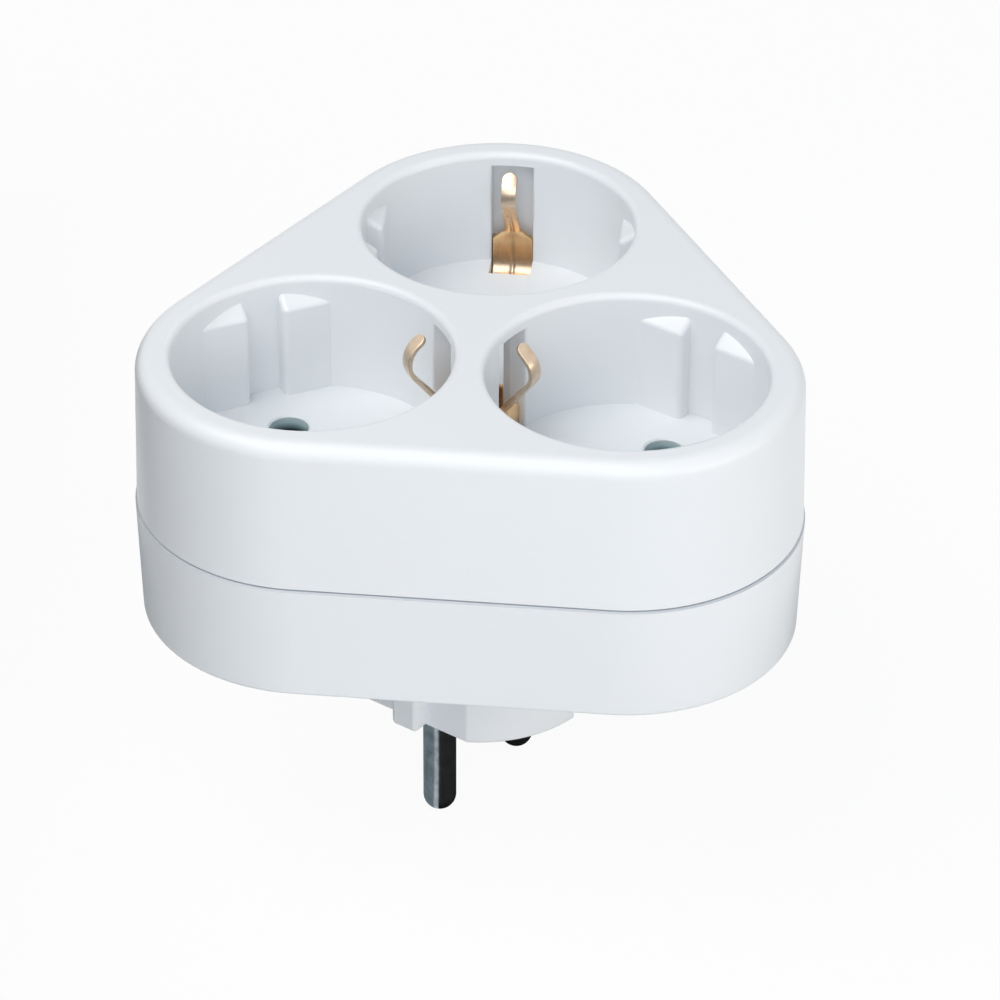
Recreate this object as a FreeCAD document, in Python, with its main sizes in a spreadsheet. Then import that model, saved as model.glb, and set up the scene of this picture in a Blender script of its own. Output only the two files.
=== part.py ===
"""Three-way socket adapter: a rounded triangular housing with three side-earthed
sockets on top and one round side-earthed plug below.

Frame: millimetres, +Z up. The origin is the centre of the plug's flat face, the plug's
pins point along -Z, and the two pins stand on the X axis. The sockets lie in the
directions 30, 150 and 270 degrees round the Z axis.
"""
import FreeCAD, Part
import math
import os
import re
import Sketcher

doc = FreeCAD.newDocument("socket_adapter")
sheet = doc.addObject("Spreadsheet::Sheet", "sizes")
vector = FreeCAD.Vector

SOCKET_ANGLES = (30, 150, 270)
SCREW_ANGLES = (90, 210, 330)

# Driving dimensions: name, value in millimetres or degrees, meaning
SIZES = (
    ("pin_diameter", 4.8, "plug pin diameter"),
    ("pin_spacing", 19.0, "distance between the two pins of a plug"),
    ("pin_length", 19.0, "plug pin length below the plug face"),
    ("well_radius", 19.5, "socket well inner radius"),
    ("well_gap", 4.3, "thinnest wall between two socket wells"),
    ("well_depth", 18.0, "socket well depth"),
    ("rim_round", 1.0, "rounding of the well rim"),
    ("well_wall", 1.6, "wall of the moulded well tube"),
    ("floor_thickness", 2.5, "thickness of the well floor"),
    ("hole_play", 0.4, "room round a plug pin in its hole"),
    ("hole_chamfer", 0.25, "lead-in chamfer of a pin hole"),
    ("guide_depth", 2.5, "height of a guide rib above the well wall"),
    ("guide_gap", 5.2, "gap between the two guide ribs of a pair"),
    ("guide_face_drop", 4.0, "well rim to the front edge of a guide rib"),
    ("guide_wall_drop", 2.2, "well rim to the back edge of a guide rib"),
    ("guide_round", 0.8, "rounding of the guide rib's free edges"),
    ("slot_play", 0.125, "room beside an earth clip in its slot"),
    ("slot_depth", 2.7, "depth of a clip slot behind the well wall"),
    ("slot_round", 0.4, "rounding of a clip slot's upright edges"),
    ("notch_depth", 4.2, "floor notch in front of an outer clip slot"),
    ("pocket_wall", 1.2, "wall between a well and the central pocket"),
    ("rim_wall", 5.3, "well wall to the outside of the upper housing at the seam"),
    ("skirt_height", 2.4, "underside of the well floor down to the seam"),
    ("cover_draft", 1.26, "draft angle of the upper housing"),
    ("cover_skin", 1.8, "outer wall of the upper housing"),
    ("roof_thickness", 2.0, "top wall of the upper housing"),
    ("top_round", 2.3, "rounding of the top outer edge"),
    ("seam_chamfer", 0.25, "chamfer on both sides of the seam"),
    ("hub_margin", 3.5, "solid middle beyond the thinnest walls between the wells"),
    ("seam_step", 0.2, "step at the seam from the upper to the lower housing"),
    ("tray_height", 17.7, "height of the lower housing above the plug"),
    ("tray_draft", 1.94, "draft angle of the lower housing"),
    ("tray_skin", 2.0, "outer wall of the lower housing"),
    ("tray_floor", 2.5, "bottom wall of the lower housing"),
    ("tray_round", 0.6, "rounding of the lower outer edge"),
    ("tongue_height", 1.4, "height of the aligning tongue above the seam"),
    ("lip_thickness", 0.9, "lip of the upper housing outside the tongue"),
    ("plug_height", 20.2, "plug face to the underside of the housing"),
    ("plug_play", 1.1, "room round a plug in a well"),
    ("flat_play", 1.2, "room between a plug's flat and a guide rib"),
    ("web_play", 0.35, "room on each side of a web between two guide ribs"),
    ("web_inset", 0.2, "plug radius to the outer face of a web"),
    ("plug_wall", 2.2, "wall of the hollow plug body"),
    ("plug_face", 3.0, "thickness of the plug's front face"),
    ("plug_round", 0.8, "rounding round the plug face"),
    ("root_radius", 2.8, "plug pin inside its boss"),
    ("boss_wall", 1.7, "wall of the boss round each plug pin"),
    ("boss_rise", 0.8, "underside of the housing to the top of a pin boss"),
    ("side_contact_width", 3.4, "width of the plug's side earth contact"),
    ("side_contact_inset", 0.4, "plug radius to the face of the side contact"),
    ("side_contact_start", 2.0, "plug face to the lower end of the side contact"),
    ("side_play", 0.2, "room on each side of the side contact in its groove"),
    ("fit_gap", 0.05, "radial clearance of parts that are held tight"),
    ("strip_thickness", 0.8, "sheet thickness of all current-carrying strips"),
    ("bend_radius", 1.2, "bend radius of a strip's outer face"),
    ("clip_width", 5.9, "width of an earth clip"),
    ("finger_width", 2.35, "width of the clip's spring finger"),
    ("clip_setback", 0.7, "well wall to the near face of a clip's upright"),
    ("wide_bend", 3.0, "bend radius below the outer upright"),
    ("nose_bend", 2.0, "bend radius on the back of a finger's nose"),
    ("shoulder_drop", 14.7, "well rim to the clip's shoulders"),
    ("finger_drop", 13.4, "well rim to where the finger reaches its width"),
    ("lean_drop", 13.5, "well rim to where the finger leans into the well"),
    ("inner_nose_inset", 4.9, "well wall to the back of the inner nose"),
    ("inner_nose_drop", 6.2, "well rim to the inner nose"),
    ("inner_tip_inset", 1.3, "well wall to the back of the inner tip"),
    ("outer_nose_inset", 1.6, "well wall to the back of the outer nose"),
    ("outer_nose_drop", 5.9, "well rim to the outer nose"),
    ("outer_tip_setback", 0.7, "well wall to the back of the outer tip, inside the slot"),
    ("inner_tip_drop", 2.3, "well rim to the clip's inner tip"),
    ("outer_tip_drop", 3.6, "well rim to the clip's outer tip"),
    ("rivet_setback", 8.0, "well centre to the rivet of an earth clip"),
    ("rivet_radius", 1.2, "rivet shank radius"),
    ("rivet_head_radius", 2.1, "rivet head radius"),
    ("rivet_head", 0.7, "rivet head height"),
    ("earth_arm_width", 6.0, "arm width of the earth plate"),
    ("post_radius", 2.0, "radius of the central earth post"),
    ("neutral_rise", 3.3, "floor of the lower housing to the neutral busbar"),
    ("level_step", 4.0, "neutral busbar up to the live busbar"),
    ("bar_width", 5.0, "width of a busbar arm"),
    ("pad_radius", 5.2, "round pads of a busbar"),
    ("pad_hole", 5.6, "hole in a pad for the tip of an inserted pin"),
    ("chimney_wall", 1.2, "wall of the tube that carries a busbar pad"),
    ("contact_width", 7.6, "width of a socket contact"),
    ("contact_base", 7.6, "length of a socket contact's base"),
    ("contact_clearance", 2.1, "top of a socket contact to the well floor above it"),
    ("pinch_gap", 4.2, "free gap between the contact's leaves"),
    ("pinch_drop", 2.0, "contact top to where its leaves pinch"),
    ("mouth_gap", 6.6, "gap between the leaves at the top"),
    ("tab_reach", 7.0, "contact centre to its rivet"),
    ("collar_radius", 3.5, "collar that stops a plug pin on its boss"),
    ("collar_height", 1.2, "collar height"),
    ("stem_radius", 2.1, "plug pin above its collar"),
    ("tenon_radius", 1.4, "riveted end of a plug pin"),
    ("screw_setback", 7.3, "middle of a flat side to an assembly screw"),
    ("screw_radius", 1.45, "screw shank radius"),
    ("screw_length", 18.0, "screw length under its head"),
    ("screw_head_radius", 2.9, "screw head radius"),
    ("screw_head", 2.0, "screw head height"),
    ("screw_grip", 8.2, "seam down to the seat of a screw head"),
    ("screw_play", 0.25, "room round a screw in the lower housing"),
    ("pilot_margin", 1.5, "pilot hole beyond the end of its screw"),
    ("column_radius", 4.6, "screw column of the lower housing"),
    ("screw_boss", 3.5, "screw boss of the upper housing"),
    ("boss_rib", 1.2, "rib that ties a screw boss to the outer wall"),
)

# Lengths, and heights above the plug face, that follow from the driving dimensions
DERIVED = {
    "well_reach": "(2 * well_radius + well_gap) / sqrt(3)",
    "guide_reach": "well_radius - guide_depth",
    "hole_radius": "pin_diameter / 2 + hole_play",
    "cover_radius": "well_radius + rim_wall",
    "cover_height": "well_depth + floor_thickness + skirt_height",
    "tray_radius": "cover_radius + seam_step",
    "hub_radius": "well_reach / 2 + hub_margin",
    "pocket_radius": "well_reach - well_radius - pocket_wall",
    "slot_width": "clip_width + 2 * slot_play",
    "slot_chord": "sqrt(well_radius ^ 2 - (slot_width / 2) ^ 2)",
    "plug_radius": "well_radius - plug_play",
    "plug_flat": "guide_reach - flat_play",
    "web_width": "guide_gap - 2 * web_play",
    "web_reach": "plug_radius - web_inset",
    "boss_radius": "root_radius + boss_wall",
    "boss_height": "plug_height + boss_rise",
    "side_contact_reach": "plug_radius - side_contact_inset",
    "groove_width": "side_contact_width + 2 * side_play",
    "groove_depth": "side_contact_inset + strip_thickness + 2 * fit_gap",
    "rivet_reach": "well_reach - rivet_setback",
    "screw_reach": "well_reach / 2 + cover_radius - screw_setback",
    "upright_reach": "well_radius + clip_setback + strip_thickness",
    "seam": "plug_height + tray_height",
    "top": "seam + cover_height",
    "roof": "top - roof_thickness",
    "well_floor": "top - well_depth",
    "underside": "well_floor - floor_thickness",
    "tray_level": "plug_height + tray_floor",
    "strap_level": "underside - strip_thickness",
    "star_level": "strap_level - strip_thickness",
    "neutral_level": "tray_level + neutral_rise",
    "live_level": "neutral_level + level_step",
    "contact_top": "underside - contact_clearance",
    "screw_seat": "seam - screw_grip",
}


for row, (name, amount, meaning) in enumerate(SIZES, start=1):
    sheet.set("A%d" % row, meaning)
    sheet.set("B%d" % row, str(amount))
    sheet.setAlias("B%d" % row, name)
doc.recompute()

SIZE_NAMES = {name for name, amount, meaning in SIZES}


def formula(text):
    """Spell a formula out in the sheet's own sizes."""
    def spelled(word):
        if word[0] in DERIVED:
            return "(%s)" % formula(DERIVED[word[0]])
        return "sizes." + word[0] if word[0] in SIZE_NAMES else word[0]
    return re.sub(r"[a-z_]+", spelled, text)


def number(text):
    """The present value of a formula."""
    return float(sheet.evalExpression(formula(text)))


def bind(thing, **formulas):
    """Bind a thing's properties to formulas; x, y and z are its place."""
    for name, text in formulas.items():
        path = "Placement.Base." + name if name in "xyz" else name
        thing.setExpression(path, formula(text))
    return thing


def block(name, length, width, height, x="0", y="0", z="0"):
    """A box whose x and z are its low sides and whose y is its middle."""
    thing = doc.addObject("Part::Box", name)
    return bind(thing, Length=length, Width=width, Height=height,
                x=x, y="%s - (%s) / 2" % (y, width), z=z)


def rod(name, radius, height, x="0", y="0", z="0"):
    """An upright cylinder on the point x, y, z."""
    thing = doc.addObject("Part::Cylinder", name)
    return bind(thing, Radius=radius, Height=height, x=x, y=y, z=z)


def fuse(name, *things):
    thing = doc.addObject("Part::MultiFuse", name)
    thing.Shapes = list(things)
    return thing


def cut(name, base, *tools):
    thing = doc.addObject("Part::Cut", name)
    thing.Base = base
    thing.Tool = tools[0] if len(tools) == 1 else fuse(name + "_tools", *tools)
    return thing


def common(name, first, second):
    thing = doc.addObject("Part::Common", name)
    thing.Base = first
    thing.Tool = second
    return thing


def mirrored(source, normal):
    """A mirror image through the origin."""
    thing = doc.addObject("Part::Mirroring", source.Name + "_mirror")
    thing.Source = source
    thing.Normal = normal
    return thing


def turned(source, angle):
    """The same thing turned round the adapter's axis."""
    link = doc.addObject("App::Link", "%s_at_%d" % (source.Name, angle))
    link.LinkedObject = source
    link.LinkTransform = True
    link.Placement = FreeCAD.Placement(vector(0, 0, 0), FreeCAD.Rotation(vector(0, 0, 1), angle))
    return link


def around(source, angles=SOCKET_ANGLES):
    """One copy of a thing for each socket or screw direction."""
    return fuse(source.Name + "_ring", *[turned(source, angle) for angle in angles])


def edge_names(shape, wanted):
    """Names of the edges for which the test holds."""
    return ["Edge%d" % place for place, edge in enumerate(shape.Edges, start=1) if wanted(edge)]


def lies_at(height):
    """A test for edges that lie wholly at one height."""
    def test(edge):
        return abs(edge.BoundBox.ZMin - height) < 0.01 and abs(edge.BoundBox.ZMax - height) < 0.01
    return test


def dress(body, kind, size_name, wanted, label):
    """Add a fillet or a chamfer to the edges of a body that pass the test."""
    doc.recompute()
    base = body.Tip
    feature = body.newObject("PartDesign::" + kind, label)
    feature.Base = (base, edge_names(base.Shape, wanted))
    return bind(feature, **{"Radius" if kind == "Fillet" else "Size": size_name})


def round_edges(rounding, base, *roundings):
    """Round the edges of a Part solid: a size name and a test for each kind of edge."""
    doc.recompute()
    rounding.Base = base
    rounding.Edges = [(int(name[4:]), number(size_name), number(size_name))
                      for size_name, wanted in roundings
                      for name in edge_names(base.Shape, wanted)]


def origin_plane(body, role):
    return next(plane for plane in body.Origin.OriginFeatures if plane.Role == role)


def sketch_on(body, name, role="XY_Plane"):
    sketch = body.newObject("Sketcher::SketchObject", name)
    sketch.AttachmentSupport = (origin_plane(body, role), [""])
    sketch.MapMode = "FlatFace"
    return sketch


def dimension(sketch, kind, text, *places):
    """Add a dimension to a sketch and bind it to a formula."""
    place = sketch.addConstraint(Sketcher.Constraint(kind, *places, number(text)))
    sketch.setExpression("Constraints[%d]" % place, formula(text))


def rounded_triangle(sketch, radius):
    """One arc round each well centre, joined by three tangent sides."""
    arcs = []
    for angle in SOCKET_ANGLES:
        centre = vector(number("well_reach"), 0, 0)
        centre = FreeCAD.Rotation(vector(0, 0, 1), angle).multVec(centre)
        circle = Part.Circle(centre, vector(0, 0, 1), number(radius))
        ends = math.radians(angle - 60), math.radians(angle + 60)
        arcs.append(sketch.addGeometry(Part.ArcOfCircle(circle, *ends), False))
    for arc, following in zip(arcs, arcs[1:] + arcs[:1]):
        start = sketch.Geometry[arc].EndPoint
        end = sketch.Geometry[following].StartPoint
        side = sketch.addGeometry(Part.LineSegment(start, end), False)
        sketch.addConstraint(Sketcher.Constraint("Tangent", arc, 2, side, 1))
        sketch.addConstraint(Sketcher.Constraint("Tangent", side, 2, following, 1))
    for arc, angle in zip(arcs, SOCKET_ANGLES):
        dimension(sketch, "DistanceX", "well_reach * cos(%d)" % angle, -1, 1, arc, 3)
        dimension(sketch, "DistanceY", "well_reach * sin(%d)" % angle, -1, 1, arc, 3)
    dimension(sketch, "Radius", radius, arcs[0])
    for arc in arcs[1:]:
        sketch.addConstraint(Sketcher.Constraint("Equal", arcs[0], arc))


def drafted_block(name, radius, height, draft, down=False):
    """The housing's outline drawn out from the seam, narrowing by the draft angle."""
    body = doc.addObject("PartDesign::Body", name)
    sketch = sketch_on(body, name + "_outline")
    sketch.setExpression("AttachmentOffset.Base.z", formula("seam"))
    rounded_triangle(sketch, radius)
    pad = body.newObject("PartDesign::Pad", name + "_pad")
    pad.Profile = sketch
    pad.Reversed = down
    bind(pad, Length=height, TaperAngle="-" + draft)
    return body


def polygon(sketch, corners):
    """A closed outline whose corners are bound to formulas, x then y."""
    points = [vector(number(x), number(y), 0) for x, y in corners]
    lines = [sketch.addGeometry(Part.LineSegment(start, end), False)
             for start, end in zip(points, points[1:] + points[:1])]
    for line, following in zip(lines, lines[1:] + lines[:1]):
        sketch.addConstraint(Sketcher.Constraint("Coincident", line, 2, following, 1))
    for line, (x, y) in zip(lines, corners):
        dimension(sketch, "DistanceX", x, -1, 1, line, 1)
        dimension(sketch, "DistanceY", y, -1, 1, line, 1)


def bent_path(name, corners, bends):
    """An open path in the XZ plane through bound corners, with one radius for each bend."""
    sketch = doc.addObject("Sketcher::SketchObject", name)
    sketch.Placement = FreeCAD.Placement(vector(0, 0, 0), FreeCAD.Rotation(vector(1, 0, 0), 90))
    points = [vector(number(x), number(z), 0) for x, z in corners]
    lines = [sketch.addGeometry(Part.LineSegment(start, end), False)
             for start, end in zip(points, points[1:])]
    for line, following in zip(lines, lines[1:]):
        sketch.addConstraint(Sketcher.Constraint("Coincident", line, 2, following, 1))
    for place, (x, z) in enumerate(corners):
        corner = (lines[place], 1) if place < len(lines) else (lines[-1], 2)
        dimension(sketch, "DistanceX", x, -1, 1, *corner)
        dimension(sketch, "DistanceY", z, -1, 1, *corner)
    for first, second, radius in zip(lines, lines[1:], bends):
        corner = points[second]
        before = corner + (points[first] - corner).normalize() * number(radius)
        after = corner + (points[second + 1] - corner).normalize() * number(radius)
        arc = sketch.GeometryCount
        sketch.fillet(first, second, before, after, number(radius), True, True)
        dimension(sketch, "Radius", radius, arc)
    return sketch


def bent_strip(name, corners, bends, width):
    """A strip of sheet metal that follows a path, its thickness on the path's left."""
    path = bent_path(name + "_path", corners, bends)
    section = doc.addObject("Part::Offset2D", name + "_section")
    section.Source = path
    section.Mode = "Skin"
    section.Join = "Arc"
    section.Fill = True
    bind(section, Value="strip_thickness")
    strip = doc.addObject("Part::Extrusion", name + "_strip")
    strip.Base = section
    strip.DirMode = "Custom"
    strip.Dir = vector(0, 1, 0)
    strip.Solid = True
    strip.Symmetric = True
    bind(strip, LengthFwd=width)
    return strip


pieces = []


def label(thing, name):
    """Make a thing one of the adapter's pieces."""
    thing.Label = name
    pieces.append(thing)
    return thing


def guide_rib():
    """A rib inside the well that a plug's flat slides past, with a bevelled top."""
    body = doc.addObject("PartDesign::Body", "guide_rib")
    sketch = sketch_on(body, "guide_rib_section", "XZ_Plane")
    outer = "well_radius + well_wall / 2"
    polygon(sketch, (("guide_reach", "well_floor - 1"), (outer, "well_floor - 1"),
                     (outer, "top - guide_wall_drop"), ("well_radius", "top - guide_wall_drop"),
                     ("guide_reach", "top - guide_face_drop")))
    pad = body.newObject("PartDesign::Pad", "guide_rib_pad")
    pad.Profile = sketch
    bind(pad, Length="well_radius")
    reach = number("guide_reach")
    crest_height = number("top - guide_face_drop")

    def free_edge(edge):
        box = edge.BoundBox
        on_face = box.XMax < reach + 0.01
        upright = on_face and box.YLength < 0.01 and abs(box.YMax) < 0.01
        crest = on_face and box.ZMin > crest_height - 0.01
        slope = box.ZMin > crest_height - 0.01 and box.YMax < 0.01 and box.ZLength > 0.01
        return upright or crest or slope

    dress(body, "Fillet", "guide_round", free_edge, "guide_rib_round")
    return body


def well_space():
    """The open space of one socket well, between its guide ribs."""
    rib = bind(guide_rib(), y="-guide_gap / 2")
    side = fuse("guide_pair", rib, mirrored(rib, vector(0, 1, 0)))
    ribs = turned(fuse("guide_ribs", side, mirrored(side, vector(1, 0, 0))), 90)
    bind(ribs, x="well_reach")
    bowl = rod("well_bowl", "well_radius", "well_depth + 1", x="well_reach", z="well_floor")
    return cut("well_space", bowl, ribs)


def clip_slots():
    """Both slots of one well: they run from under the floor to just below the rim."""
    height = "roof - underside + 1"
    outer = block("outer_slot", "notch_depth + slot_depth", "slot_width", height,
                  x="well_reach + well_radius - notch_depth", z="underside - 1")
    inner = block("inner_slot", "well_reach - slot_chord + fit_gap", "slot_width", height,
                  z="underside - 1")
    return fuse("clip_slots", outer, inner)


def pin_holes():
    """The two pin holes of one well floor, each with a small lead-in chamfer."""
    holes = []
    for side, name in (("-", "near"), ("", "far")):
        middle = side + "pin_spacing / 2"
        holes.append(rod(name + "_pin_hole", "hole_radius", "floor_thickness + 2",
                         x="well_reach", y=middle, z="underside - 1"))
        lead = doc.addObject("Part::Cone", name + "_pin_hole_lead")
        bind(lead, Radius1="hole_radius", Radius2="hole_radius + 2 * hole_chamfer",
             Height="2 * hole_chamfer", x="well_reach", y=middle, z="well_floor - hole_chamfer")
        holes.append(lead)
    return fuse("pin_holes", *holes)


def cover_inside():
    """The hollow of the upper housing, cored out from below round the moulded wells."""
    hollow = drafted_block("cover_hollow", "cover_radius - cover_skin",
                           "cover_height - roof_thickness", "cover_draft")
    height = "top - underside"
    tube = rod("well_tube", "well_radius + well_wall", height, x="well_reach", z="underside")
    surround = block("slot_surround", "slot_depth + well_wall", "slot_width + 2 * well_wall", height,
                     x="well_reach + well_radius", z="underside")
    hub = rod("cover_hub", "hub_radius", height, z="underside")
    boss = rod("screw_boss_blank", "screw_boss", "cover_height", x="screw_reach", z="seam")
    rib = block("screw_boss_rib", "cover_radius", "boss_rib", "cover_height",
                x="screw_reach + screw_boss / 2", z="seam + 2 * tongue_height")
    wells = around(fuse("well_walls", tube, surround))
    bosses = around(fuse("screw_bosses", boss, rib), SCREW_ANGLES)
    return cut("cover_inside", hollow, wells, hub, bosses)


def slot_edge(edge):
    """A test for the upright edges where a well's wall runs into a clip slot."""
    box = edge.BoundBox
    upright = box.XLength + box.YLength < 0.01
    from_floor = abs(box.ZMin - number("well_floor")) < 0.01
    return upright and from_floor and abs(box.ZMax - number("roof")) < 0.01


def upper_housing():
    """Glossy white moulding with the three wells, their guide ribs and clip slots."""
    blank = drafted_block("cover_blank", "cover_radius", "cover_height", "cover_draft")
    dress(blank, "Fillet", "top_round", lies_at(number("top")), "cover_top_round")
    dress(blank, "Chamfer", "seam_chamfer", lies_at(number("seam")), "cover_seam_chamfer")
    rebate = cut("lip_rebate",
                 drafted_block("rebate_outside", "cover_radius - lip_thickness",
                               "tongue_height + fit_gap", "cover_draft"),
                 drafted_block("rebate_inside", "cover_radius - cover_skin - fit_gap",
                               "tongue_height + fit_gap", "cover_draft"))
    pocket = rod("central_pocket", "pocket_radius", "roof - underside + 1", z="underside - 1")
    recess = rod("rivet_recess", "rivet_head_radius + 2 * fit_gap", "rivet_head + 2 * fit_gap",
                 x="rivet_reach", z="underside")
    pilot = rod("screw_pilot", "screw_radius + fit_gap", "screw_length - screw_grip + pilot_margin",
                x="screw_reach", z="seam")
    open_parts = around(fuse("well_cuts", well_space(), clip_slots(), pin_holes(), recess))
    housing = cut("upper_housing_sharp", blank, cover_inside(), open_parts, rebate, pocket,
                  around(pilot, SCREW_ANGLES))
    rounded = doc.addObject("Part::Fillet", "upper_housing")
    rim_length = 2 * math.pi * number("well_radius")
    at_top = lies_at(number("top"))
    round_edges(rounded, housing, ("slot_round", slot_edge),
                ("rim_round", lambda edge: at_top(edge) and abs(edge.Length - rim_length) < 0.01))
    return label(rounded, "upper_housing")


def flatted_round(name, radius, flat, base, height):
    """A round with a flat on two sides."""
    round_part = rod(name + "_round", radius, height, z=base)
    flats = block(name + "_flats", "2 * (%s)" % flat, "2 * plug_radius", height,
                  x="-(%s)" % flat, z=base)
    return common(name, round_part, flats)


def outer_upright(edge):
    """A test for the upright edges of the plug where its webs and its flats end."""
    box = edge.BoundBox
    upright = box.XLength + box.YLength < 0.01
    return upright and math.hypot(box.XMax, box.YMax) > number("web_reach") - 0.01


def plug_outside():
    """The plug's outside: round, with two flats and a web down the middle of each flat."""
    body = flatted_round("plug_body", "plug_radius", "plug_flat", "0", "tray_level")
    webs = common("plug_webs",
                  rod("plug_web_ends", "plug_radius", "tray_level"),
                  block("plug_web_sides", "2 * web_reach", "web_width", "tray_level", x="-web_reach"))
    rounded = doc.addObject("Part::Fillet", "plug_outside")
    round_edges(rounded, fuse("plug_sharp", body, webs), ("plug_round", lies_at(0)),
                ("plug_round", outer_upright))
    return rounded


def plug_cup():
    """The hollow plug below the lower housing, with bosses that hold the pins."""
    inside = flatted_round("plug_inside", "plug_radius - plug_wall", "plug_flat - plug_wall",
                           "plug_face", "tray_level - plug_face + 1")
    backing = block("contact_backing", "2 * plug_wall + groove_depth", "groove_width + 2 * plug_wall",
                    "tray_level", x="plug_radius - 2 * plug_wall - groove_depth")
    backings = fuse("contact_backings", turned(backing, 90), turned(backing, 270))
    bosses = fuse("pin_bosses", *[rod(pole.name + "_pin_boss", "boss_radius", "boss_height", x=pole.pin_x)
                                  for pole in POLES])
    return plug_outside(), cut("plug_hollow", inside, backings, bosses)


class Pole:
    """One pole of the mains: which side its plug pin is on and where its contacts are."""

    def __init__(self, name, side, sockets):
        self.name = name
        self.pin_x = side + "pin_spacing / 2"
        self.level = name + "_level"
        self.contacts = []
        for angle, hand in sockets:
            across = "%d * pin_spacing / 2" % hand
            self.contacts.append(("(well_reach * cos(%d) - %s * sin(%d))" % (angle, across, angle),
                                  "(well_reach * sin(%d) + %s * cos(%d))" % (angle, across, angle)))


# Each socket's two contacts: hand 1 is on the anticlockwise side of its radial line
POLES = (Pole("live", "", ((270, 1), (30, -1), (150, -1))),
         Pole("neutral", "-", ((270, -1), (30, 1), (150, 1))))


def pin_chimneys():
    """Tubes that carry the busbar pads and take the tips of inserted plug pins."""
    solids = []
    bores = []
    for pole in POLES:
        height = pole.level + " - tray_level"
        for place, (x, y) in enumerate(pole.contacts, start=1):
            name = "%s_chimney_%d" % (pole.name, place)
            solids.append(rod(name, "pad_hole / 2 + chimney_wall", height, x=x, y=y, z="tray_level"))
            bores.append(rod(name + "_bore", "pad_hole / 2", height, x=x, y=y, z="tray_level"))
    return solids, bores


def lower_housing():
    """Glossy white tray that closes the adapter and carries the moulded plug."""
    blank = drafted_block("tray_blank", "tray_radius", "tray_height", "tray_draft", down=True)
    dress(blank, "Fillet", "tray_round", lies_at(number("plug_height")), "tray_lower_round")
    dress(blank, "Chamfer", "seam_chamfer", lies_at(number("seam")), "tray_seam_chamfer")
    hollow = drafted_block("tray_hollow", "tray_radius - tray_skin", "tray_height - tray_floor",
                           "tray_draft", down=True)
    tongue = cut("tongue",
                 drafted_block("tongue_outside", "cover_radius - lip_thickness - fit_gap",
                               "tongue_height", "cover_draft"),
                 drafted_block("tongue_inside", "cover_radius - cover_skin", "tongue_height",
                               "cover_draft"))
    column = rod("screw_column", "column_radius", "tray_height - tray_floor / 2", x="screw_reach",
                 z="plug_height + tray_floor / 2")
    recess = rod("head_recess", "screw_head_radius + screw_play", "tray_height - screw_grip",
                 x="screw_reach", z="plug_height")
    passage = rod("screw_passage", "screw_radius + screw_play", "tray_height", x="screw_reach",
                  z="plug_height")
    groove = block("contact_groove", "groove_depth + 1", "groove_width", "plug_height",
                   x="plug_radius - groove_depth")
    slit = block("contact_slit", "strip_thickness + bend_radius + 2 * fit_gap", "groove_width",
                 "tray_floor + 2", x="side_contact_reach - strip_thickness - bend_radius",
                 z="plug_height - 1")
    plug, plug_hollow = plug_cup()
    chimneys, bores = pin_chimneys()
    pin_bores = []
    for pole in POLES:
        pin_bores.append(rod(pole.name + "_pin_bore", "root_radius + fit_gap", "tray_level", x=pole.pin_x))
        pin_bores.append(rod(pole.name + "_collar_room", "collar_radius + fit_gap",
                             "tray_level - boss_height", x=pole.pin_x, z="boss_height"))
    shell = cut("tray_shell", blank, hollow)
    filled = fuse("tray_filled", shell, tongue, plug, around(column, SCREW_ANGLES), *chimneys)
    side_cuts = fuse("side_cuts", groove, slit)
    housing = cut("lower_housing", filled, plug_hollow, *pin_bores, *bores,
                  around(fuse("screw_cuts", recess, passage), SCREW_ANGLES),
                  turned(side_cuts, 90), turned(side_cuts, 270))
    return label(housing, "lower_housing")


def turn(thing, angle):
    """Turn a thing about the upright axis through its own place."""
    thing.Placement = FreeCAD.Placement(thing.Placement.Base, FreeCAD.Rotation(vector(0, 0, 1), 0.001))
    thing.setExpression("Placement.Rotation.Angle", formula(angle))
    return thing


def direction(start, end):
    """The formula for the angle of the line from one point to another."""
    return "atan2(%s - (%s); %s - (%s))" % (end[1], start[1], end[0], start[0])


def plug_pin(pole):
    """Turned and nickel-plated pin: thick inside its boss, riveted into its busbar at the top."""
    name = "plug_pin_" + pole.name
    tip = doc.addObject("Part::Sphere", name + "_tip")
    bind(tip, Radius="pin_diameter / 2", x=pole.pin_x, z="pin_diameter / 2 - pin_length")
    shank = rod(name + "_shank", "pin_diameter / 2", "pin_length - pin_diameter / 2",
                x=pole.pin_x, z="pin_diameter / 2 - pin_length")
    root = rod(name + "_root", "root_radius", "boss_height", x=pole.pin_x)
    collar = rod(name + "_collar", "collar_radius", "collar_height", x=pole.pin_x, z="boss_height")
    stem = rod(name + "_stem", "stem_radius", pole.level + " - boss_height", x=pole.pin_x, z="boss_height")
    tenon = rod(name + "_tenon", "tenon_radius", "strip_thickness + rivet_head / 2", x=pole.pin_x,
                z=pole.level)
    head = rod(name + "_head", "tenon_radius + rivet_head", "rivet_head", x=pole.pin_x,
               z=pole.level + " + strip_thickness")
    return label(fuse(name, tip, shank, root, collar, stem, tenon, head), name)


def rivet_place(pole, x, y):
    """Where a contact's rivet stands: on the line from the contact to its plug pin."""
    heading = direction((pole.pin_x, "0"), (x, y))
    return "%s - tab_reach * cos(%s)" % (x, heading), "%s - tab_reach * sin(%s)" % (y, heading)


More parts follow.
